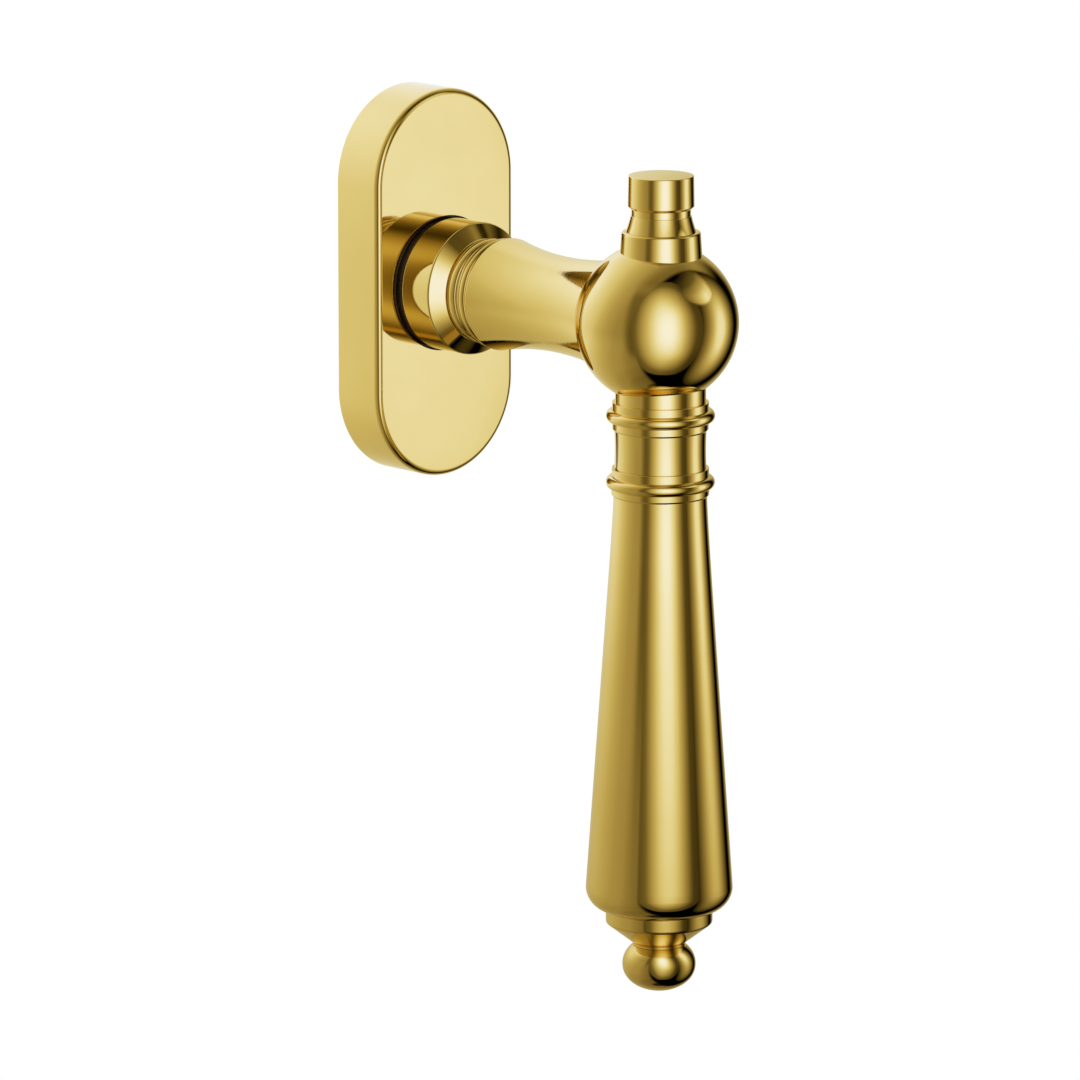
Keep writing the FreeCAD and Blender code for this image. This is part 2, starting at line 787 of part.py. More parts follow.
def handle_drum():
    """The drum in front of the rosette, with the journal and stub that turn inside it."""
    body = turned("handle_drum", "out", [
        (0, stub_rear),
        (mm.stub_radius, stub_rear),
        (mm.stub_radius, ring_rear - mm.seat_play / 2),
        (ring_groove_radius, ring_rear - mm.seat_play / 2),
        (ring_groove_radius, ring_front + mm.seat_play / 2),
        (mm.stub_radius, ring_front + mm.seat_play / 2),
        (mm.stub_radius, bush_rear),
        (mm.journal_radius, bush_rear),
        (mm.journal_radius, drum_rear),
        (mm.drum_radius, drum_rear),
        (mm.drum_radius, bevel_start),
        (mm.bevel_radius, drum_front),
        (0, drum_front),
    ])
    socket = new_sketch(body, "XZ", "spindle_socket", offset=mm.spindle_grip + mm.seat_play)
    half = mm.spindle_side / 2 + mm.seat_play
    box_outline(socket, half, -half, half)
    pocket(body, socket, "SocketCut", mm.spindle_grip + mm.spindle_reach)
    cut_circle(body, "XZ", "StudHole", stud_hole, offset=drum_front,
               length=mm.stud_in_drum + mm.seat_play)
    cut_circle(body, "YZ", "PinHole", pin_hole, [(-mm.pin_station, 0)])
    return keep(body, "handle_drum")


def spindle():
    """The square spindle that drives the window's gear."""
    body = new_body("spindle")
    sketch = new_sketch(body, "XZ", "spindle_square", offset=-mm.spindle_reach)
    half = mm.spindle_side / 2
    box_outline(sketch, half, -half, half)
    bar = pad(body, sketch, "SpindlePad", mm.spindle_reach + mm.spindle_grip)
    doc.recompute()
    tip = body.newObject("PartDesign::Chamfer", "SpindleTip")
    tip.Base = (bar, edges_at(body, "Y", mm.spindle_reach.value))
    tip.setExpression("Size", mm.spindle_chamfer.formula)
    cut_circle(body, "YZ", "SpindlePinHole", pin_hole, [(-mm.pin_station, 0)])
    return keep(body, "spindle")


def spindle_pin():
    """The cross pin that holds the spindle in the journal."""
    pin = doc.addObject("Part::Cylinder", "spindle_pin_rod")
    length = 2 * leg(mm.journal_radius, mm.pin_radius)
    pin.setExpression("Radius", mm.pin_radius.formula)
    pin.setExpression("Height", length.formula)
    pin.Placement.Rotation = FreeCAD.Rotation(FreeCAD.Vector(0, 1, 0), 90)
    pin.setExpression("Placement.Base.x", (-length / 2).formula)
    return keep(pin, "spindle_pin", out=mm.pin_station)


def neck_stud():
    """The threaded stud that joins the drum and the neck."""
    return keep(turned("neck_stud", "out", [
        (0, stud_rear),
        (mm.stud_radius, stud_rear),
        (mm.stud_radius, stud_rear + mm.stud_length),
        (0, stud_rear + mm.stud_length),
    ]), "neck_stud")


def handle_neck():
    """The turned neck: two rings, a hollow trumpet, and the spigot inside the hub."""
    foot = drum_front + mm.neck_foot
    valley = foot + mm.neck_ring_one
    ring_two = valley + mm.neck_valley
    line = ring_two + mm.neck_ring_two
    waist = trumpet_start + mm.neck_waist_distance
    fall = mm.neck_root_radius - mm.neck_waist_radius
    root_arc = (mm.neck_waist_distance * mm.neck_waist_distance / fall + fall) / 2
    flare = neck_end - waist
    swell = mm.neck_end_radius - mm.neck_waist_radius
    end_arc = (flare * flare / swell + swell) / 2
    ring_one_arc = bow_radius(mm.neck_ring_one, mm.neck_ring_one_radius - mm.neck_valley_radius)
    ring_two_arc = bow_radius(mm.neck_ring_two, mm.neck_ring_two_radius - mm.neck_valley_radius)
    body = turned("handle_neck", "out", [
        (0, drum_front),
        (mm.neck_foot_radius, drum_front),
        (mm.neck_foot_radius, foot),
        (mm.neck_valley_radius, foot, ring_one_arc),
        (mm.neck_valley_radius, valley),
        (mm.neck_valley_radius, ring_two, ring_two_arc),
        (mm.neck_valley_radius, line),
        (mm.neck_line_radius, line),
        (mm.neck_line_radius, trumpet_start),
        (mm.neck_root_radius, trumpet_start, root_arc, "in"),
        (mm.neck_waist_radius, waist, end_arc, "in"),
        (mm.neck_end_radius, neck_end),
        (mm.neck_boss_radius, neck_end),
        (mm.neck_boss_radius, neck_end + mm.neck_boss),
        (mm.spigot_radius, neck_end + mm.neck_boss),
        (mm.spigot_radius, neck_end + mm.spigot_length),
        (0, neck_end + mm.spigot_length),
    ])
    depth = mm.stud_length - mm.stud_in_drum + mm.stud_hole_end
    cut_circle(body, "XZ", "NeckStudHole", stud_hole, offset=drum_front, length=depth, inward=True)
    cut_circle(body, "XY", "SpigotHole", rod_hole, [(0, -lever_station)])
    return keep(body, "handle_neck")


# Hub and finial

def ball_hub():
    """The ball that carries the neck, the finial and the lever."""
    body = new_body("ball_hub")
    ball = body.newObject("PartDesign::AdditiveSphere", "HubBall")
    ball.setExpression("Radius", mm.hub_radius.formula)
    ball.setExpression("Placement.Base.y", (-mm.hub_station).formula)
    cut_circle(body, "XZ", "NeckFlat", mm.hub_radius, offset=hub_flat, length=mm.hub_radius)
    boss_depth = mm.neck_boss + mm.seat_play
    cut_circle(body, "XZ", "BossSeat", mm.neck_boss_radius + mm.seat_play, offset=neck_end,
               length=boss_depth, inward=True)
    spigot_depth = mm.spigot_length + mm.seat_play
    cut_circle(body, "XZ", "SpigotSeat", mm.spigot_radius + mm.seat_play, offset=neck_end,
               length=spigot_depth, inward=True)
    axis = [(0, -lever_station)]
    cut_circle(body, "XY", "RodHole", rod_hole, axis)
    cut_circle(body, "XY", "FinialSeat", mm.finial_base_radius + mm.seat_play, axis,
               offset=finial_seat, length=mm.hub_radius, inward=True)
    cut_circle(body, "XY", "LeverSeat", mm.collar_a_radius + mm.seat_play, axis,
               offset=-lever_seat, length=mm.hub_radius)
    return keep(body, "ball_hub")


def finial_base():
    """The stepped ring between the hub and the finial."""
    return keep(turned("finial_base", "up", [
        (rod_hole, 0),
        (mm.finial_base_radius, 0),
        (mm.finial_base_top_radius, mm.finial_base_side, mm.finial_shoulder),
        (mm.finial_base_top_radius - mm.finial_shoulder, finial_base_height),
        (rod_hole, finial_base_height),
    ]), "finial_base", out=lever_station, up=finial_seat)


def finial_cap():
    """The cap nut on top of the tie rod, with a slightly domed top."""
    groove_start = mm.flare_length
    cap_start = groove_start + mm.finial_groove
    flare_slope = mm.flare_radius - mm.flare_top_radius
    chord = root(mm.flare_length * mm.flare_length + flare_slope * flare_slope)
    cap_end = cap_start + mm.cap_length
    dome_radius = (mm.cap_upper_radius * mm.cap_upper_radius / mm.cap_dome + mm.cap_dome) / 2
    body = turned("finial_cap", "up", [
        (0, 0),
        (mm.flare_radius, 0, bow_radius(chord, mm.flare_hollow), "in"),
        (mm.flare_top_radius, groove_start),
        (mm.finial_groove_radius, groove_start),
        (mm.finial_groove_radius, cap_start),
        (mm.cap_lower_radius - mm.cap_chamfer, cap_start),
        (mm.cap_lower_radius, cap_start + mm.cap_chamfer),
        (mm.cap_upper_radius, cap_end, dome_radius),
        (0, cap_end + mm.cap_dome),
    ])
    cut_circle(body, "XY", "CapThread", rod_thread_hole,
               length=mm.rod_in_finial + mm.rod_end_space, inward=True)
    return keep(body, "finial_cap", out=lever_station, up=finial_seat + finial_base_height)


def tie_rod():
    """The threaded rod that clamps the finial, the hub and the lever together."""
    top = finial_seat + finial_base_height + mm.rod_in_finial
    bottom = knob_top + mm.rod_in_knob
    rod = doc.addObject("Part::Cylinder", "tie_rod_bar")
    rod.setExpression("Radius", mm.rod_radius.formula)
    rod.setExpression("Height", (top + bottom).formula)
    return keep(rod, "tie_rod", out=lever_station, up=-bottom)


# Lever

def upper_ring():
    """The turned ring under the hub: two collars, a bead and a collar."""
    bead_start = mm.collar_a + mm.collar_b
    bead_end = bead_start + mm.bead
    return keep(turned("upper_ring", "down", [
        (rod_hole, 0),
        (mm.collar_a_radius, 0),
        (mm.collar_a_radius, mm.collar_a),
        (mm.collar_b_radius, mm.collar_a),
        (mm.collar_b_radius, bead_start, bow_radius(mm.bead, mm.bead_radius - mm.collar_b_radius)),
        (mm.collar_b_radius, bead_end),
        (mm.collar_c_radius, bead_end),
        (mm.collar_c_radius, upper_ring_length),
        (rod_hole, upper_ring_length),
    ]), "upper_ring", out=lever_station, up=-lever_seat)


def waist_sleeve():
    """The slightly hollow sleeve between the two rings."""
    return keep(turned("waist_sleeve", "down", [
        (rod_hole, 0),
        (mm.waist_radius, 0, bow_radius(mm.waist_length, mm.waist_hollow), "in"),
        (mm.waist_radius, mm.waist_length),
        (rod_hole, mm.waist_length),
    ]), "waist_sleeve", out=lever_station, up=-waist_drop)


def lower_ring():
    """The turned ring above the grip: a collar, a bead and a tapered collar."""
    bead_end = mm.collar_d + mm.bead
    return keep(turned("lower_ring", "down", [
        (rod_hole, 0),
        (mm.collar_d_radius, 0),
        (mm.collar_d_radius, mm.collar_d, bow_radius(mm.bead, mm.bead_radius - mm.collar_d_radius)),
        (mm.collar_d_radius, bead_end),
        (mm.collar_e_radius, bead_end),
        (mm.collar_e_low_radius, lower_ring_length),
        (rod_hole, lower_ring_length),
    ]), "lower_ring", out=lever_station, up=-lower_ring_drop)


def grip():
    """The conical grip, with its rounded lower edge."""
    return keep(turned("grip", "down", [
        (rod_hole, 0),
        (mm.grip_top_radius, 0),
        (mm.grip_radius, mm.grip_cone, mm.grip_rounding),
        (mm.grip_radius - mm.grip_rounding, grip_length),
        (rod_hole, grip_length),
    ]), "grip", out=lever_station, up=-grip_drop)


def end_cap():
    """The collar under the grip, with its cone and a small lip."""
    rounded = mm.end_collar_radius - mm.end_collar_rounding
    rounding_end = mm.end_collar + mm.end_collar_rounding
    return keep(turned("end_cap", "down", [
        (rod_hole, 0),
        (mm.end_collar_radius, 0),
        (mm.end_collar_radius, mm.end_collar, mm.end_collar_rounding),
        (rounded, rounding_end),
        (mm.end_cone_radius, end_cone_end),
        (mm.end_lip_radius, end_cone_end),
        (mm.end_lip_radius, end_cap_length),
        (rod_hole, end_cap_length),
    ]), "end_cap", out=lever_station, up=-end_cap_drop)


def end_knob():
    """The flattened ball at the end of the lever."""
    share = mm.knob_flat_radius / mm.knob_radius
    middle = mm.knob_half_height * leg(as_size(1), share)
    body = new_body("end_knob")
    ball = body.newObject("PartDesign::AdditiveEllipsoid", "KnobBall")
    ball.setExpression("Radius1", mm.knob_half_height.formula)
    ball.setExpression("Radius2", mm.knob_radius.formula)
    ball.setExpression("Radius3", mm.knob_radius.formula)
    ball.setExpression("Placement.Base.z", (-middle).formula)
    cut_circle(body, "XY", "KnobFlat", mm.knob_radius, length=mm.knob_half_height, inward=True)
    cut_circle(body, "XY", "KnobThread", rod_thread_hole, length=mm.rod_in_knob + mm.rod_end_space)
    return keep(body, "end_knob", out=lever_station, up=-knob_top)


# The whole handle

def build():
    """Makes every piece of the handle."""
    base_plate()
    retainer_plate()
    retainer_rivets()
    guide_bush()
    rosette_cover()
    fixing_screws()
    cover_clips()
    detents()
    index_disc()
    thrust_washer()
    retaining_ring()
    handle_drum()
    spindle()
    spindle_pin()
    neck_stud()
    handle_neck()
    ball_hub()
    finial_base()
    finial_cap()
    tie_rod()
    upper_ring()
    waist_sleeve()
    lower_ring()
    grip()
    end_cap()
    end_knob()


def check():
    """Stops the build if any object failed or any piece has no sound solid."""
    faults = []
    for thing in doc.Objects:
        if "Invalid" in thing.State or "Error" in thing.State:
            faults.append(f"{thing.Name}: {thing.State}")
    for node in nodes:
        if node.Shape.isNull() or not node.Shape.isValid() or not node.Shape.Solids:
            faults.append(f"{node.Label}: no sound solid")
    if faults:
        raise RuntimeError("; ".join(faults))


def export():
    """Writes each piece to its own file."""
    os.makedirs("parts", exist_ok=True)
    for node in nodes:
        node.Shape.exportStep(f"parts/{node.Label}.step")
        print(f"{node.Label}: {len(node.Shape.Solids)} solid(s), {node.Shape.Volume:.1f} mm3")


build()
doc.recompute()
check()
export()
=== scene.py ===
"""Looks of a polished brass window handle: turned pieces, rosette cover, finishes, studio and camera.

Lengths are written in millimetres and put into the meshes in metres. The sash is the plane Y = 0, the
handle stands out of it along -Y, and a station is a distance out of the sash. +Z is up.
"""
import json
import math

import bpy
import numpy as np
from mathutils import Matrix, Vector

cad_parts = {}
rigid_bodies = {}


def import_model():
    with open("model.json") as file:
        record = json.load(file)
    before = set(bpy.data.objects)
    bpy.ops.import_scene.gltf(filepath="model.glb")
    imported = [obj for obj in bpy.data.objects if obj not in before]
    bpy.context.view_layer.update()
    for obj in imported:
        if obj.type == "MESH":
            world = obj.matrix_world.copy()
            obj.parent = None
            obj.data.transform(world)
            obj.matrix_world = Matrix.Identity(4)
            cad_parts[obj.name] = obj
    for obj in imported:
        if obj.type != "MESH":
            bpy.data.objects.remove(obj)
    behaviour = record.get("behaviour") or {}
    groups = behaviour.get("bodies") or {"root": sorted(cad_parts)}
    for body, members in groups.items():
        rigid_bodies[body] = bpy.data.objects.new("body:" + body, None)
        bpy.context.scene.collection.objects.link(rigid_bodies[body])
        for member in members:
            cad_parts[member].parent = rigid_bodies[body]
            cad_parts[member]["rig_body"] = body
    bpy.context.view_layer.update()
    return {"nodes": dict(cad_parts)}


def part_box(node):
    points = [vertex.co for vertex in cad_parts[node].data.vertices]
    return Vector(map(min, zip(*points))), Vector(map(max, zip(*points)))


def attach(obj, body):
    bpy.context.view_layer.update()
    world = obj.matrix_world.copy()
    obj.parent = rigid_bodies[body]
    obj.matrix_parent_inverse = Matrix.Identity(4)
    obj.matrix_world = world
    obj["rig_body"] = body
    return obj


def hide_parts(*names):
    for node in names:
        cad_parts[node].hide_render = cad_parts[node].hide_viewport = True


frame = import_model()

MM = 0.001
ROUND = 224                 # points round a turned piece
CRISP = 0.03                # least rounding of a turned corner
SHARP = 14                  # a corner that bends by more degrees than this is rounded
HUB_STATION = 61.75         # the ball's centre, and the light tent's
HUB_RADIUS = 13.65
LEVER_STATION = 62.65       # the axis of finial and lever
ROD_BORE = 3.1              # radius of the tie rod's hole
NOISE_RANGE = (0.3, 0.7)    # where nearly all values of a noise lie


# Profiles of turned pieces

def swell(start, stop, rise, count):
    """Points of a circular arc between two profile points, both ends included.

    Along the chord c the arc stands off by h = sqrt(R^2 - x^2) - (R - rise), with x measured from the
    chord's middle and R = c^2 / (8 rise) + rise / 2. A positive rise bulges away from the axis.
    """
    start, stop = np.array(start, float), np.array(stop, float)
    chord = stop - start
    length = np.hypot(*chord)
    normal = np.array([chord[1], -chord[0]]) / length
    normal = normal if normal[0] > 0 else -normal
    radius = length ** 2 / (8 * abs(rise)) + abs(rise) / 2
    half = math.asin(min(1.0, length / 2 / radius))
    turn = np.linspace(-half, half, count)
    along = (radius * np.sin(turn) / length + 0.5)[:, None]
    off = (radius * np.cos(turn) - (radius - abs(rise)))[:, None]
    points = start + along * chord + math.copysign(1, rise) * off * normal
    return [tuple(point) for point in points]


def eased(corners, closed):
    """A dense profile from corners (radius, along[, rounding]).

    A corner becomes the curve B(t) = (1-t)^2 A + 2t(1-t) P + t^2 C between the points A and C, which lie
    a rounding before and after the corner P, with one more point just outside each. A corner that bends
    by more than SHARP has a rounding of CRISP at least, and one that bends less stays a point. No
    rounding takes more than the share most of a side.
    """
    most, guard_share, guard_length = 0.42, 0.05, 0.02
    place = np.array([corner[:2] for corner in corners], float)
    size = np.array([corner[2] if len(corner) > 2 else 0.0 for corner in corners])
    before = np.roll(place, 1, 0) - place
    after = np.roll(place, -1, 0) - place
    cross = before[:, 0] * after[:, 1] - before[:, 1] * after[:, 0]
    bend = np.degrees(np.arctan2(np.abs(cross), -(before * after).sum(1)))
    size = np.where(bend > SHARP, np.maximum(size, CRISP), 0.0)
    if not closed:
        size[0] = size[-1] = 0.0
    step = np.linspace(0, 1, 7)[:, None]
    rows = []
    for spot, reach, back, ahead in zip(place, size, before, after):
        if reach == 0:
            rows.append(spot[None])
            continue
        back_length, ahead_length = np.hypot(*back), np.hypot(*ahead)
        reach = min(reach, most * back_length, most * ahead_length)
        guard = min(guard_length, guard_share * back_length, guard_share * ahead_length)
        back, ahead = back / back_length, ahead / ahead_length
        first, last = spot + back * reach, spot + ahead * reach
        curve = (1 - step) ** 2 * first + 2 * step * (1 - step) * spot + step ** 2 * last
        rows += [(first + back * guard)[None], curve, (last + ahead * guard)[None]]
    return np.concatenate(rows)


# Meshes

def put(name, data):
    """A new object in the scene, at the origin."""
    thing = bpy.data.objects.new(name, data)
    bpy.context.scene.collection.objects.link(thing)
    return thing


def put_mesh(name, points, faces, smooth=True):
    """A mesh object at the origin from points in metres and rows of corner numbers."""
    mesh = bpy.data.meshes.new(name)
    mesh.from_pydata(points.tolist(), [], faces)
    mesh.polygons.foreach_set("use_smooth", np.full(len(mesh.polygons), smooth))
    mesh.update()
    return put(name, mesh)


def grid_faces(rows, columns, loop_rows):
    """Quads of a grid whose columns close round, and whose rows do too where loop_rows is set."""
    last = rows if loop_rows else rows - 1
    row, column = np.meshgrid(np.arange(last), np.arange(columns), indexing="ij")
    here = row * columns + column
    right = row * columns + (column + 1) % columns
    below = (row + 1) % rows * columns + column
    beyond = (row + 1) % rows * columns + (column + 1) % columns
    return np.stack([here, right, beyond, below], -1).reshape(-1, 4).tolist()


def outward(piece):
    """Turns all faces outwards by the sign of the volume: the sum of a . (b x c) / 6 over triangles."""
    mesh = piece.data
    mesh.calc_loop_triangles()
    corner = np.empty(len(mesh.loop_triangles) * 3, np.int32)
    mesh.loop_triangles.foreach_get("vertices", corner)
    place = np.empty(len(mesh.vertices) * 3)
    mesh.vertices.foreach_get("co", place)
    a, b, c = place.reshape(-1, 3)[corner.reshape(-1, 3)].transpose(1, 0, 2)
    if (a * np.cross(b, c)).sum() < 0:
        mesh.flip_normals()
    return piece


def turned(name, corners, axis, closed=False):
    """A turned piece: each profile point (r, s) sweeps the circle r cos(a), r sin(a) about its axis.

    axis is "neck", where s is a station, or "lever", where s is a height. A profile that isn't closed
    starts and ends on the axis, where its circle is one point.
    """
    profile = eased(corners, closed)
    radius, along = profile[:, :1], profile[:, 1:]
    angle = np.linspace(0, 2 * math.pi, ROUND, endpoint=False)[None]
    across = radius * np.cos(angle)
    other = radius * np.sin(angle)
    level = along + 0 * angle
    if axis == "neck":
        points = np.stack([across, -level, other], -1)
    else:
        points = np.stack([across, other - LEVER_STATION, level], -1)
    rows = len(profile)
    if closed:
        return outward(put_mesh(name, points.reshape(-1, 3) * MM, grid_faces(rows, ROUND, True)))
    body = points[1:-1].reshape(-1, 3)
    ends = points[[0, -1], 0]
    faces = grid_faces(rows - 2, ROUND, False)
    column = np.arange(ROUND)
    after = (column + 1) % ROUND
    first, last = len(body), len(body) + 1
    base = (rows - 3) * ROUND
    faces += np.stack([after, column, np.full(ROUND, first)], -1).tolist()
    faces += np.stack([base + column, base + after, np.full(ROUND, last)], -1).tolist()
    return outward(put_mesh(name, np.concatenate([body, ends]) * MM, faces))


def dress(piece, node, finish):
    """Gives a new piece its finish and lets it stand for its node."""
    piece.data.materials.append(finish)
    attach(piece, frame["nodes"][node]["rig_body"])
    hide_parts(node)


# Finishes

def empty_tree(owner):
    """The node tree of a material or world, with its nodes taken out."""
    owner.use_nodes = True
    owner.node_tree.nodes.clear()
    return owner.node_tree


def nodes_of(material):
    """A material's node tree and its one shader, already joined to the output."""
    tree = empty_tree(material)
    shader = tree.nodes.new("ShaderNodeBsdfPrincipled")
    end = tree.nodes.new("ShaderNodeOutputMaterial")
    tree.links.new(shader.outputs[0], end.inputs["Surface"])
    return tree, shader


def grain(tree, stretch, scale, detail=3.0, roughness=0.5):
    """Noise on Object coordinates, stretched along the axes by a Mapping node."""
    where = tree.nodes.new("ShaderNodeTexCoord")
    mapping = tree.nodes.new("ShaderNodeMapping")
    mapping.inputs["Scale"].default_value = stretch
    noise = tree.nodes.new("ShaderNodeTexNoise")
    noise.inputs["Scale"].default_value = scale
    noise.inputs["Detail"].default_value = detail
    noise.inputs["Roughness"].default_value = roughness
    tree.links.new(where.outputs["Object"], mapping.inputs["Vector"])
    tree.links.new(mapping.outputs[0], noise.inputs["Vector"])
    return noise.outputs["Fac"]


def spread(tree, value, to_low, to_high):
    """Carries a noise from NOISE_RANGE to another range."""
    carry = tree.nodes.new("ShaderNodeMapRange")
    carry.inputs["From Min"].default_value = NOISE_RANGE[0]
    carry.inputs["From Max"].default_value = NOISE_RANGE[1]
    carry.inputs["To Min"].default_value = to_low
    carry.inputs["To Max"].default_value = to_high
    tree.links.new(value, carry.inputs["Value"])
    return carry.outputs["Result"]


def sum_of(tree, one, other):
    """Adds two values."""
    plus = tree.nodes.new("ShaderNodeMath")
    plus.operation = "ADD"
    tree.links.new(one, plus.inputs[0])
    tree.links.new(other, plus.inputs[1])
    return plus.outputs[0]


def shades(tree, value, stops):
    """A colour ramp of (place, colour) stops."""
    ramp = tree.nodes.new("ShaderNodeValToRGB")
    while len(ramp.color_ramp.elements) < len(stops):
        ramp.color_ramp.elements.new(0.5)
    for element, (place, colour) in zip(ramp.color_ramp.elements, stops):
        element.position = place
        element.color = (*colour, 1)
    tree.links.new(value, ramp.inputs["Fac"])
    return ramp.outputs["Color"]


def bumped(tree, shader, height, depth):
    """Raises the surface by a height from 0 to 1 times a depth in metres."""
    bump = tree.nodes.new("ShaderNodeBump")
    bump.inputs["Distance"].default_value = depth
    bump.inputs["Strength"].default_value = 1.0
    tree.links.new(height, bump.inputs["Height"])
    tree.links.new(bump.outputs[0], shader.inputs["Normal"])


def polished_brass(name, lines):
    """Polished brass with a slightly uneven tone and fine polishing lines.

    lines is the scale of their noise along X, Y and Z: they are narrow where it is large.
    """
    material = bpy.data.materials.new(name)
    tree, shader = nodes_of(material)
    tone = grain(tree, (1, 1, 1), 55, 4, 0.6)
    tree.links.new(shades(tree, tone, [
        (0.30, (0.835, 0.635, 0.225)),
        (0.55, (0.855, 0.655, 0.245)),
        (0.75, (0.870, 0.672, 0.262)),
    ]), shader.inputs["Base Color"])
    shader.inputs["Metallic"].default_value = 1.0
    marks = grain(tree, lines, 1.0, 2, 0.6)
    smear = grain(tree, (1, 1, 1), 240, 3, 0.55)
    rough = sum_of(tree, spread(tree, marks, 0.030, 0.062), spread(tree, smear, -0.008, 0.012))
    tree.links.new(rough, shader.inputs["Roughness"])
    bumped(tree, shader, marks, 0.0000015)
    return material


def moulded_nylon():
    """Moulded nylon, nearly black with a brown cast, and a fine grain."""
    material = bpy.data.materials.new("moulded_nylon")
    tree, shader = nodes_of(material)
    cloud = grain(tree, (1, 1, 1), 300, 4)
    tree.links.new(shades(tree, cloud, [(0.35, (0.016, 0.008, 0.005)), (0.65, (0.030, 0.015, 0.009))]),
                   shader.inputs["Base Color"])
    tree.links.new(spread(tree, cloud, 0.26, 0.38), shader.inputs["Roughness"])
    bumped(tree, shader, grain(tree, (1, 1, 1), 5200, 2), 0.00001)
    return material


def cast_zinc():
    """Matt cast zinc with a fine skin, slightly cloudy."""
    material = bpy.data.materials.new("cast_zinc")
    tree, shader = nodes_of(material)
    cloud = grain(tree, (1, 1, 1), 130, 5)
    tree.links.new(shades(tree, cloud, [(0.3, (0.40, 0.41, 0.42)), (0.7, (0.56, 0.57, 0.575))]),
                   shader.inputs["Base Color"])
    shader.inputs["Metallic"].default_value = 0.85
    tree.links.new(spread(tree, cloud, 0.40, 0.56), shader.inputs["Roughness"])
    bumped(tree, shader, grain(tree, (1, 1, 1), 2600, 4, 0.65), 0.00003)
    return material


def drawn_steel(name, low, high, sheen):
    """Bright steel with drawing lines; low and high are its two tones, and sheen is its mean roughness."""
    material = bpy.data.materials.new(name)
    tree, shader = nodes_of(material)
    cloud = grain(tree, (1, 1, 1), 220, 4)
    tree.links.new(shades(tree, cloud, [(0.3, low), (0.7, high)]), shader.inputs["Base Color"])
    shader.inputs["Metallic"].default_value = 1.0
    lines = grain(tree, (2600, 60, 2600), 1.0, 3, 0.6)
    tree.links.new(spread(tree, lines, sheen - 0.06, sheen + 0.08), shader.inputs["Roughness"])
    bumped(tree, shader, lines, 0.000004)
    return material


brass_on_lever = polished_brass("brass_turned_upright", (45, 45, 4200))
brass_on_neck = polished_brass("brass_turned_level", (45, 4200, 45))
brass_on_cover = polished_brass("brass_buffed_cover", (2400, 2400, 60))
nylon = moulded_nylon()
zinc = cast_zinc()
zinc_plated = drawn_steel("zinc_plated_steel", (0.50, 0.52, 0.54), (0.62, 0.63, 0.64), 0.26)
spring_steel = drawn_steel("spring_steel", (0.36, 0.36, 0.37), (0.50, 0.50, 0.50), 0.22)


# Rosette cover

def stadium_loop(half_width, side, count):
    """Points round an upright stadium: half circles of radius half_width about (0, +-side / 2).

    The points lie at equal steps of the perimeter 2 pi w + 2 side, from the middle of the right side.
    """
    half_side, bow = side / 2, math.pi * half_width
    total = 2 * side + 2 * bow
    s = np.arange(count) / count * total
    x = np.empty(count)
    z = np.empty(count)
    for low, high, middle, start in ((half_side, half_side + bow, half_side, 0.0),
                                     (3 * half_side + bow, 3 * half_side + 2 * bow, -half_side, math.pi)):
        on = (s >= low) & (s < high)
        angle = start + (s[on] - low) / half_width
        x[on] = half_width * np.cos(angle)
        z[on] = middle + half_width * np.sin(angle)
    right = s < half_side
    x[right], z[right] = half_width, s[right]
    left = (s >= half_side + bow) & (s < 3 * half_side + bow)
    x[left], z[left] = -half_width, half_side - (s[left] - half_side - bow)
    close = s >= 3 * half_side + 2 * bow
    x[close], z[close] = half_width, -half_side + (s[close] - 3 * half_side - 2 * bow)
    return x, z


def rosette_cover():
    """The cover as one closed grid of loops: rim, side, rounded edge, face, hole, inside, rim.

    Each loop is a stadium of half width w at a station, and those of the hole are circles. On the face the
    loops go over from the one to the other as P = (1 - k) stadium + k circle, with a circle that is a
    margin wider than the hole. The hole's edge is a quarter round, the lip.
    """
    width, side, depth, wall = 15.7, 35.4, 10.0, 1.3
    rounding, hole, lip, margin = 1.05, 11.48, 0.16, 0.3
    count, guard, lip_guard = 320, 0.03, 0.02
    steps = np.linspace(0, math.pi / 2, 13)
    outer = [(width, 0.0), (width, 0.04), (width, depth - rounding - guard)]
    outer += [(width - rounding * (1 - math.cos(a)), depth - rounding * (1 - math.sin(a))) for a in steps]
    outer += [(width - rounding - guard, depth)]
    inner = [(width - wall - margin, depth - wall), (width - wall, depth - wall - lip_guard)]
    inner += [(width - wall, 0.0)]
    edge_x, edge_z = stadium_loop(width - rounding - guard, side, count)
    bearing = np.arctan2(edge_z, edge_x)
    loops = [(*stadium_loop(w, side, count), station) for w, station in outer]
    for share in (0.25, 0.5, 0.75, 1.0):
        loops.append((edge_x * (1 - share) + share * (hole + margin) * np.cos(bearing),
                      edge_z * (1 - share) + share * (hole + margin) * np.sin(bearing), depth))
    hem = [(lip + lip_guard, depth)]
    hem += [(lip * (1 - math.sin(a)), depth - lip * (1 - math.cos(a))) for a in steps[::2]]
    hem += [(0.0, depth - lip - lip_guard), (0.0, depth - wall)]
    for extra, station in hem:
        loops.append(((hole + extra) * np.cos(bearing), (hole + extra) * np.sin(bearing), station))
    loops += [(*stadium_loop(w, side, count), station) for w, station in inner]
    points = np.stack([np.stack([x, np.full(count, -station), z], -1) for x, z, station in loops])
    faces = grid_faces(len(loops), count, True)
    return outward(put_mesh("cover_shell", points.reshape(-1, 3) * MM, faces))


# Pieces on the neck

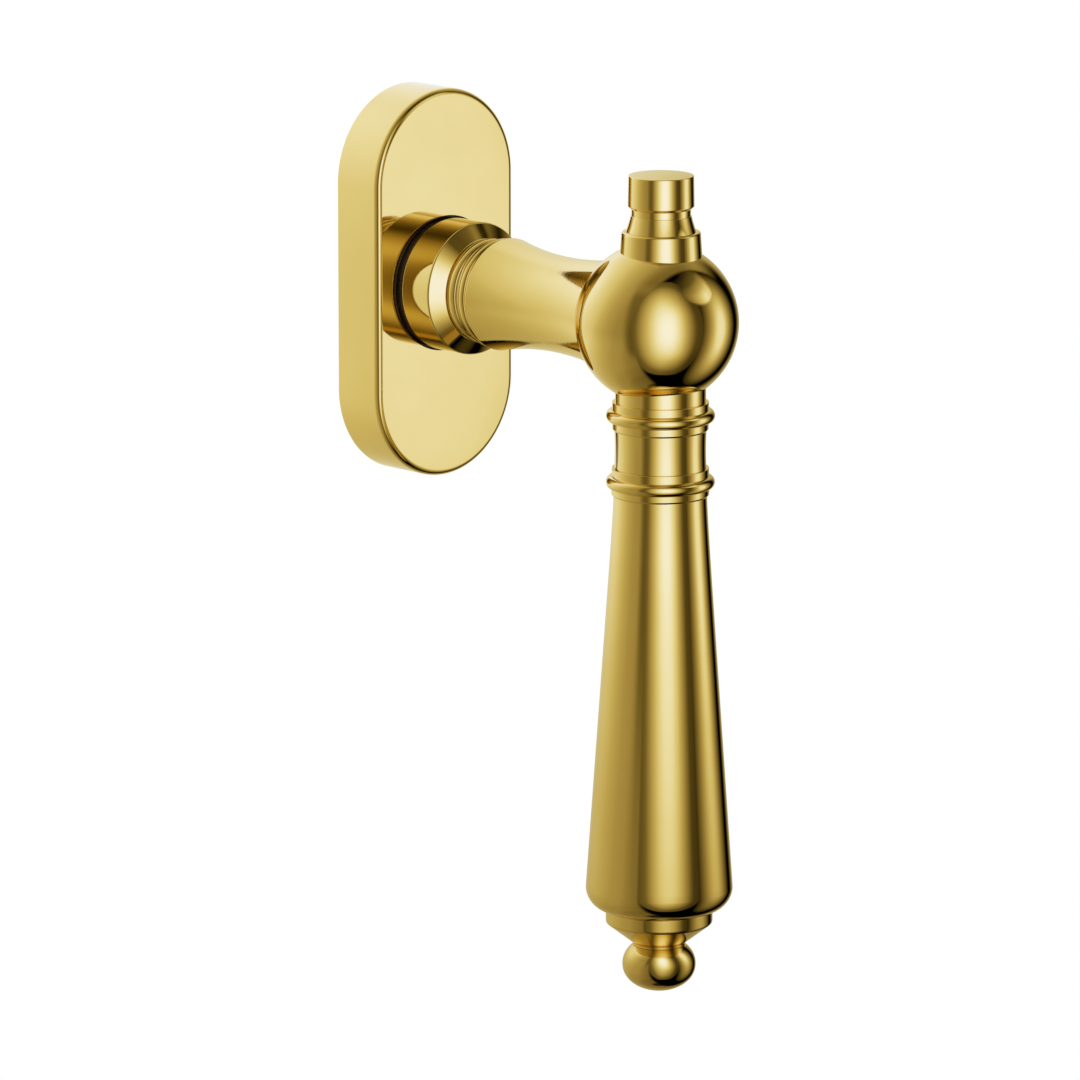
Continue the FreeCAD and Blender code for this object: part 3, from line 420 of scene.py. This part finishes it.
def drum():
    """Journal, drum and bevel, with a bore for the spindle and the stud."""
    return turned("drum_turning", [
        (5.0, 0.25), (6.3, 0.25, 0.1), (6.3, 4.0), (8.0, 4.0, 0.1), (8.0, 11.18),
        (11.33, 11.18, 0.24), (11.33, 17.68, 0.26), (8.75, 19.4, 0.10), (4.05, 19.4),
        (4.05, 13.4), (5.0, 13.4),
    ], "neck", closed=True)


def bush():
    """The collar and flange of the bush."""
    return turned("bush_moulding", [
        (8.05, 4.0), (9.65, 4.0, 0.1), (9.65, 6.2), (12.6, 6.2, 0.1), (12.6, 8.55, 0.1), (11.1, 8.55),
        (11.1, 11.08, 0.12), (8.05, 11.08, 0.08),
    ], "neck", closed=True)


def neck():
    """Foot, two rings with a groove between them, a line, the trumpet and the spigot.

    The trumpet is two arcs that meet at its waist: r = narrow + R - sqrt(R^2 - x^2), with x the distance
    from the waist, and R = (length^2 / rise + rise) / 2 of each arc.
    """
    start, waist, end = 25.1, 38.85, 51.756
    first, narrow, last = 9.62, 8.07, 9.3
    fall, climb = first - narrow, last - narrow
    ring = 8.6
    down = np.linspace(0, 1, 40)[1:]
    root = ((waist - start) ** 2 / fall + fall) / 2
    distance = start + (waist - start) * down
    hollow = narrow + root - np.sqrt(root ** 2 - (waist - distance) ** 2)
    flare = ((end - waist) ** 2 / climb + climb) / 2
    beyond = np.linspace(waist, end, 34)[1:-1]
    opening = narrow + flare - np.sqrt(flare ** 2 - (beyond - waist) ** 2)
    corners = [(0, 28.5), (4.05, 28.5), (4.05, 19.4), (8.4, 19.4), (8.4, 19.55)]
    corners += swell((ring, 19.55), (ring, 21.35), 0.35, 15)
    corners += swell((ring, 21.4), (ring, 22.45), -0.30, 11)
    corners += swell((ring, 22.5), (ring, 24.3), 0.70, 17)
    corners += [(8.9, 24.3, 0.05), (8.9, start), (first, start, 0.30)]
    corners += list(zip(hollow, distance)) + list(zip(opening, beyond))
    corners += [(last, end, 0.14), (7.4, end), (7.4, 53.4), (5.0, 53.4), (5.0, 59.0), (0, 59.0)]
    return turned("neck_turning", corners, "neck")


# Hub, finial and lever

def hub():
    """The ball of HUB_RADIUS about its centre, cut flat where the neck meets it."""
    flat_radius, flat_station = 9.35, 51.806
    polar = np.linspace(math.asin(flat_radius / HUB_RADIUS), math.pi, 130)
    corners = [(0, flat_station), (9.0, flat_station)]
    corners += [(HUB_RADIUS * math.sin(a), HUB_STATION - HUB_RADIUS * math.cos(a)) for a in polar]
    corners[-1] = (0.0, HUB_STATION + HUB_RADIUS)
    return turned("hub_ball", corners, "neck")


def top_of(node):
    """Height of a node's upper end, in millimetres."""
    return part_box(node)[1].z / MM


def bottom_of(node):
    """Height of a node's lower end, in millimetres."""
    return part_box(node)[0].z / MM


def hung(name, node, corners):
    """A turned lever piece whose corners are (radius, drop below the node's upper end[, rounding])."""
    top = top_of(node)
    placed = [(radius, top - drop, *rounding) for radius, drop, *rounding in corners]
    return turned(name, placed, "lever", closed=True)


def raised(name, node, corners, closed):
    """A turned finial piece whose corners are (radius, height above the node's lower end[, rounding])."""
    low = bottom_of(node)
    placed = [(radius, low + height, *rounding) for radius, height, *rounding in corners]
    return turned(name, placed, "lever", closed)


def finial_ring():
    """The stepped ring on the hub, slightly wider below, with a rounded shoulder."""
    return raised("finial_ring", "finial_base", [
        (ROD_BORE, 0), (6.87, 0), (6.60, 4.3, 0.42), (ROD_BORE, 4.3),
    ], True)


def finial_head():
    """The cap nut: flare, groove, and a cap with a chamfer below and a dome above.

    The dome rises over the cap's edge by rise (1 - (r / edge)^2).
    """
    edge, top, rise = 5.45, 9.42, 0.26
    flare = swell((5.85, 0.0), (5.06, 2.7), -0.05, 14)
    dome = [(r, top + rise * (1 - (r / edge) ** 2)) for r in np.linspace(edge, 0, 12)[1:]]
    return raised("finial_head", "finial_cap", [(0, 0)] + flare + [
        (4.95, 2.7), (4.95, 3.85), (5.10, 3.85, 0.06), (5.55, 4.30, 0.12), (edge, top, 0.14),
    ] + dome, False)


def ring_above():
    """Two collars, a bead and a collar under the hub."""
    return hung("ring_above", "upper_ring", [
        (ROD_BORE, 0), (7.58, 0), (7.58, 2.5), (8.08, 2.5, 0.12),
        *swell((8.08, 3.8), (8.08, 5.9), 1.02, 25),
        (8.03, 5.9), (8.03, 7.02), (7.84, 7.3), (ROD_BORE, 7.3),
    ])


def waist():
    """The slightly hollow sleeve."""
    return hung("waist_turning", "waist_sleeve", [
        (ROD_BORE, 0), *swell((7.68, 0), (7.68, 6.4), -0.08, 24), (ROD_BORE, 6.4),
    ])


def ring_below():
    """A collar, a bead and a tapered collar above the grip."""
    return hung("ring_below", "lower_ring", [
        (ROD_BORE, 0), (8.13, 0, 0.10), *swell((8.13, 1.38), (8.13, 3.48), 0.97, 25),
        (8.20, 3.48), (8.16, 4.47), (7.97, 4.75), (ROD_BORE, 4.75),
    ])


def cone():
    """The grip: a cone that is slightly flared at its top and ends in a quarter round.

    At the share k of its length the radius is top + widening k + flare exp(-k / decay).
    """
    top, widening, flare, decay, length = 7.66, 4.71, 0.15, 0.06, 67.1
    rounding, inside, end = 3.95, 8.42, 71.05
    turn = np.linspace(0, math.pi / 2, 28)
    corner = [(inside + rounding * math.cos(a), length + rounding * math.sin(a)) for a in turn]
    shares = np.linspace(0, 0.98, 40)
    straight = [(top + widening * k + flare * math.exp(-k / decay), length * k) for k in shares]
    return hung("grip_cone", "grip", [(ROD_BORE, 0), *straight, *corner, (ROD_BORE, end)])


def tip_collar():
    """The collar under the grip with its cone and a small lip."""
    return hung("tip_collar", "end_cap", [
        (ROD_BORE, 0), (9.0, 0, 0.1), (9.0, 2.2, 0.34), (4.25, 5.85),
        (4.4, 5.85, 0.12), (4.4, 6.2, 0.12), (ROD_BORE, 6.2),
    ])


def tip_knob():
    """The flattened ball, cut flat above.

    At the angle a from its top the radius is wide sin a. The height over its middle is above cos a in the
    upper half and -below |cos a|^power in the lower half.
    """
    wide, above, below, power, flat_radius = 6.19, 4.75, 4.6, 0.93, 4.5
    middle = bottom_of("end_knob") + above
    first = math.asin(flat_radius / wide)
    corners = [(0, middle + above * math.cos(first))]
    for a in np.linspace(first, math.pi, 90):
        height = above * math.cos(a) if a < math.pi / 2 else -below * abs(math.cos(a)) ** power
        corners.append((wide * math.sin(a), middle + height))
    corners[-1] = (0.0, middle - below)
    return turned("tip_knob", corners, "lever")


dress(rosette_cover(), "rosette_cover", brass_on_cover)
dress(bush(), "guide_bush", nylon)
dress(drum(), "handle_drum", brass_on_neck)
dress(neck(), "handle_neck", brass_on_neck)
dress(hub(), "ball_hub", brass_on_lever)
dress(finial_ring(), "finial_base", brass_on_lever)
dress(finial_head(), "finial_cap", brass_on_lever)
dress(ring_above(), "upper_ring", brass_on_lever)
dress(waist(), "waist_sleeve", brass_on_lever)
dress(ring_below(), "lower_ring", brass_on_lever)
dress(cone(), "grip", brass_on_lever)
dress(tip_collar(), "end_cap", brass_on_lever)
dress(tip_knob(), "end_knob", brass_on_lever)

FINISH_OF = {
    "base_plate": zinc, "retainer_plate": zinc_plated, "retainer_rivets": zinc_plated,
    "fixing_screws": zinc_plated, "cover_clip_upper": spring_steel, "cover_clip_lower": spring_steel,
    "detent_ball_upper": zinc_plated, "detent_ball_lower": zinc_plated,
    "detent_spring_upper": spring_steel, "detent_spring_lower": spring_steel,
    "index_disc": zinc_plated, "thrust_washer": zinc_plated, "retaining_ring": spring_steel,
    "spindle": zinc_plated, "spindle_pin": zinc_plated, "neck_stud": zinc_plated, "tie_rod": zinc_plated,
}
for node, finish in FINISH_OF.items():
    mesh = frame["nodes"][node].data
    mesh.materials.clear()
    mesh.materials.append(finish)


# Studio

def towards(azimuth, elevation):
    """Unit vectors from the hub: azimuth from -Y towards +X, elevation above the horizon, in degrees."""
    a, e = np.radians(azimuth), np.radians(elevation)
    return np.stack([np.cos(e) * np.sin(a), -np.cos(e) * np.cos(a), np.sin(e) + 0 * a], -1)


def fade(x, low, high):
    """0 below low, 1 above high, and 3t^2 - 2t^3 between them."""
    t = np.clip((x - low) / (high - low), 0, 1)
    return t * t * (3 - 2 * t)


def on_card(d, azimuth, elevation):
    """Where directions meet a card that faces the hub, as tangents across and up, and if they lie ahead."""
    least = 0.05
    facing = towards(azimuth, elevation)
    right = towards(azimuth + 90, 0)
    up = np.cross(right, facing)
    up = up if up[2] > 0 else -up
    ahead = d @ facing
    depth = np.maximum(ahead, least)
    return d @ right / depth, d @ up / depth, ahead > least


def rounded(u, v, power):
    """The distance (|u|^n + |v|^n)^(1/n) from the middle of a card, where n is the power."""
    return (np.abs(u) ** power + np.abs(v) ** power) ** (1 / power)


def angle_from(d, azimuth, elevation):
    """The angle in degrees between directions and one other direction."""
    return np.degrees(np.arccos(np.clip(d @ towards(azimuth, elevation), -1, 1)))


def key_box(d):
    """The tall main box, which falls off from its middle, dims to the right and ends above and below."""
    u, v, seen = on_card(d, -30, 0)
    far = rounded(u, v / np.where(v < 0, 1.94, 1.95), 2.3)
    key = np.interp(far, (0, .1, .2, .3, .43, .51, .61, .73, .89, 1.0, 1.2, 1.35),
                    (.935, .93, .90, .83, .69, .585, .47, .335, .175, .135, .11, 0))
    key = key * np.interp(u, (.17, .36, .58, .84, 1.19), (1, .95, .77, .50, .62))
    key = key * (1 - fade(u, -.15, .3) * (.14 * fade(v, .3, .9) + .2 * fade(-v, .6, 1.2)))
    return key * seen * (1 - fade(np.abs(v), 2.28, 2.38))


def side_box(d):
    """A box at the right, which falls off from its middle."""
    u, v, seen = on_card(d, 54, -8)
    far = rounded(u / np.where(u < 0, .63, .58), v / 1.40, 2.2)
    return seen * np.interp(far, (0, .2, .35, .5, .7, .85, 1.0, 1.2), (.84, .81, .63, .44, .24, .14, .06, 0))


def fan_box(d):
    """A box above at the right: a fan with a bright, bowed lower edge."""
    u, v, seen = on_card(d, 43, 32)
    v = v - 1.05 * (u + .04) ** 2
    fan = seen * np.interp(v, (-.22, -.13, -.03, .05, .14, .23, .33, .42, .53, .7),
                           (0, .84, .84, .72, .48, .32, .14, .10, .05, 0))
    return fan * np.interp(u, (-.75, -.58, -.40, -.24, -.10, 0, .18, .28, .38),
                           (0, .14, .36, .66, .90, 1, .88, .45, 0))


def wrap_light(d):
    """The light from behind and all round, which falls off with the angle from its middle.

    It is out in front and on the dark side at the right, dimmer above and straight below, and half as
    bright at the left in front of the sash.
    """
    behind = angle_from(d, -175, 20)
    front = angle_from(d, 10, -8)
    azimuth = np.degrees(np.arctan2(d[..., 0], -d[..., 1]))
    height = np.degrees(np.arcsin(np.clip(d[..., 2], -1, 1)))
    dark_side = fade(azimuth, 60, 85) * (1 - fade(azimuth, 96, 116)) * (1 - fade(height, 20, 48))
    left_side = 0.5 * fade(azimuth, -94, -80) * (azimuth < 0)
    left_side = left_side * (1 - fade(height, 40, 60)) * (1 - fade(-height, 25, 45))
    wrap = np.interp(behind, (0, 15, 31, 41, 48, 61, 76, 88, 96, 110, 135),
                     (.88, .84, .73, .65, .56, .43, .33, .30, .24, .17, .08))
    wrap = wrap * (1 - .42 * fade(height, 44, 66) * fade(behind, 62, 84))
    wrap = wrap * (1 + .10 * fade(azimuth, 105, 135) * (1 - fade(azimuth, 150, 178)))
    wrap = wrap * (1 + .17 * fade(-height, 5, 25) * (1 - fade(-height, 48, 62)))
    wrap = wrap * (1 - .18 * fade(-height, 62, 70) - .75 * fade(-height, 80, 86))
    return wrap * fade(front, 77, 83) * (1 - dark_side) * (1 - left_side)


def brightness(d):
    """Light that the hub sees in each direction: the brightest of the four."""
    return np.maximum.reduce([key_box(d), side_box(d), fan_box(d), wrap_light(d)])


def shown_to(thing, camera, mirrors):
    """Lets only the camera, only mirror rays, both or neither see a thing, and keeps it from all else."""
    thing.visible_camera = camera
    thing.visible_glossy = mirrors
    thing.visible_diffuse = False
    thing.visible_shadow = False
    thing.visible_transmission = False


def light_tent():
    """A tent about the hub that carries the soft boxes: 150 mm in radius and 600 mm high.

    Its profile runs from the middle of the floor over the wall to the middle of the top, swept right
    round. The radius is less at the left, by the share nearer exp(-((azimuth - left) / breadth)^2). Each
    point shines as bright as the direction that it lies in.
    """
    radius, half_height, flat, wall, count = 150.0, 300.0, 24, 200, 480
    nearer, left, breadth = 0.38, -68, 22
    level = np.concatenate([np.full(flat, -half_height), np.linspace(-half_height, half_height, wall),
                            np.full(flat, half_height)])
    reach = np.concatenate([np.linspace(1, 147, flat), np.full(wall, radius), np.linspace(147, 1, flat)])
    azimuth = np.radians(np.linspace(-180, 180, count, endpoint=False))
    reach = reach[:, None] * (1 - nearer * np.exp(-((np.degrees(azimuth) - left) / breadth) ** 2))
    x = reach * np.sin(azimuth)
    y = -reach * np.cos(azimuth)
    z = level[:, None] + 0 * azimuth
    offset = np.stack([x, y, z], -1).reshape(-1, 3)
    direction = offset / np.linalg.norm(offset, axis=1, keepdims=True)
    points = (offset + (0, -HUB_STATION, 0)) * MM
    faces = grid_faces(len(level), len(azimuth), False)
    tent = put_mesh("light_tent", points, faces, smooth=False)
    r = brightness(direction)
    # What the brass shows, divided by the brass's own colour: red falls off evenly, and green and blue faster
    green = r * (.605 + .36 * r ** 2)
    blue = r * (.07 + .14 * r + .75 * r ** 6)
    colour = np.stack([r / .85, green / .65, blue / .25, np.ones(len(r))], -1)
    glow = tent.data.attributes.new("glow", "FLOAT_COLOR", "POINT")
    glow.data.foreach_set("color", colour.astype(np.float32).ravel())
    material = bpy.data.materials.new("tent_glow")
    tree = empty_tree(material)
    read = tree.nodes.new("ShaderNodeAttribute")
    read.attribute_name = "glow"
    shine = tree.nodes.new("ShaderNodeEmission")
    end = tree.nodes.new("ShaderNodeOutputMaterial")
    tree.links.new(read.outputs["Color"], shine.inputs["Color"])
    tree.links.new(shine.outputs[0], end.inputs["Surface"])
    tent.data.materials.append(material)
    shown_to(tent, camera=False, mirrors=True)


def sash_card():
    """A white card just behind the plane of the sash, seen from its front only and by the camera only.

    It is a very shallow cone, Y = back - slope r. Seen from side-on it shows its clear back, so that it
    hides nothing there, and it never hides what lies in front of the sash.
    """
    reach, back, slope, count = 0.4, 0.0009, 0.025, 96
    turn = np.linspace(0, 2 * math.pi, count, endpoint=False)
    edge = np.stack([reach * np.cos(turn), np.full(count, back - slope * reach), reach * np.sin(turn)], -1)
    points = np.concatenate([[(0, back, 0)], edge])
    faces = [(0, 1 + place, 1 + (place + 1) % count) for place in range(count)]
    card = put_mesh("sash_card", points, faces, smooth=False)
    material = bpy.data.materials.new("card_white")
    tree = empty_tree(material)
    side = tree.nodes.new("ShaderNodeNewGeometry")
    white = tree.nodes.new("ShaderNodeEmission")
    white.inputs["Color"].default_value = (1, 1, 1, 1)
    clear = tree.nodes.new("ShaderNodeBsdfTransparent")
    pick = tree.nodes.new("ShaderNodeMixShader")
    end = tree.nodes.new("ShaderNodeOutputMaterial")
    tree.links.new(side.outputs["Backfacing"], pick.inputs[0])
    tree.links.new(white.outputs[0], pick.inputs[1])
    tree.links.new(clear.outputs[0], pick.inputs[2])
    tree.links.new(pick.outputs[0], end.inputs["Surface"])
    card.data.materials.append(material)
    shown_to(card, camera=True, mirrors=False)


def white_room():
    """White to the camera and in reflections, and a plain soft light on everything matt."""
    world = bpy.data.worlds.new("white_room")
    bpy.context.scene.world = world
    tree = empty_tree(world)
    path = tree.nodes.new("ShaderNodeLightPath")
    back = tree.nodes.new("ShaderNodeBackground")
    back.inputs["Strength"].default_value = 1.0
    end = tree.nodes.new("ShaderNodeOutputWorld")
    pick = tree.nodes.new("ShaderNodeMix")
    pick.data_type = "RGBA"
    pick.inputs["A"].default_value = (0.85, 0.85, 0.85, 1)
    pick.inputs["B"].default_value = (1, 1, 1, 1)
    seen = sum_of(tree, path.outputs["Is Camera Ray"], path.outputs["Is Glossy Ray"])
    seen = sum_of(tree, seen, path.outputs["Is Transmission Ray"])
    tree.links.new(seen, pick.inputs["Factor"])
    tree.links.new(pick.outputs["Result"], back.inputs["Color"])
    tree.links.new(back.outputs[0], end.inputs["Surface"])


def floor():
    """A plain pale floor, 0.8 m below the handle."""
    reach, height = 4.0, -0.8
    points = np.array([(-reach, -reach, height), (reach, -reach, height), (reach, reach, height),
                       (-reach, reach, height)])
    plane = put_mesh("floor", points, [(0, 1, 2, 3)], smooth=False)
    material = bpy.data.materials.new("pale_floor")
    tree, shader = nodes_of(material)
    cloud = grain(tree, (1, 1, 1), 1.5, 2)
    tree.links.new(shades(tree, cloud, [(0.0, (0.93, 0.93, 0.93)), (1.0, (0.95, 0.95, 0.95))]),
                   shader.inputs["Base Color"])
    shader.inputs["Roughness"].default_value = 0.9
    shader.inputs["Emission Color"].default_value = (1, 1, 1, 1)
    shader.inputs["Emission Strength"].default_value = 0.25
    plane.data.materials.append(material)


def soft_lamp():
    """One large soft lamp from the front left, for the matt pieces."""
    lamp = bpy.data.lights.new("soft_lamp", "AREA")
    lamp.shape = "RECTANGLE"
    lamp.size, lamp.size_y = 0.5, 0.8
    lamp.energy = 1.2
    holder = put("soft_lamp", lamp)
    holder.location = (-0.5, -0.9, 0.3)
    holder.rotation_euler = (math.radians(75), 0, math.radians(-30))
    holder.visible_glossy = False
    holder.visible_camera = False


def camera():
    """A long lens from the front left and a little above, tilted down, with no shift."""
    lens = bpy.data.cameras.new("camera")
    lens.lens = 300
    lens.sensor_width = 36
    lens.clip_start, lens.clip_end = 0.1, 50
    holder = put("camera", lens)
    holder.location = (-1.02347, -1.12125, 0.27009)
    holder.rotation_euler = (math.radians(90 - 11.774), 0, math.radians(-43.252))
    bpy.context.scene.camera = holder


light_tent()
sash_card()
white_room()
floor()
soft_lamp()
camera()
bpy.context.scene.view_settings.view_transform = "Standard"
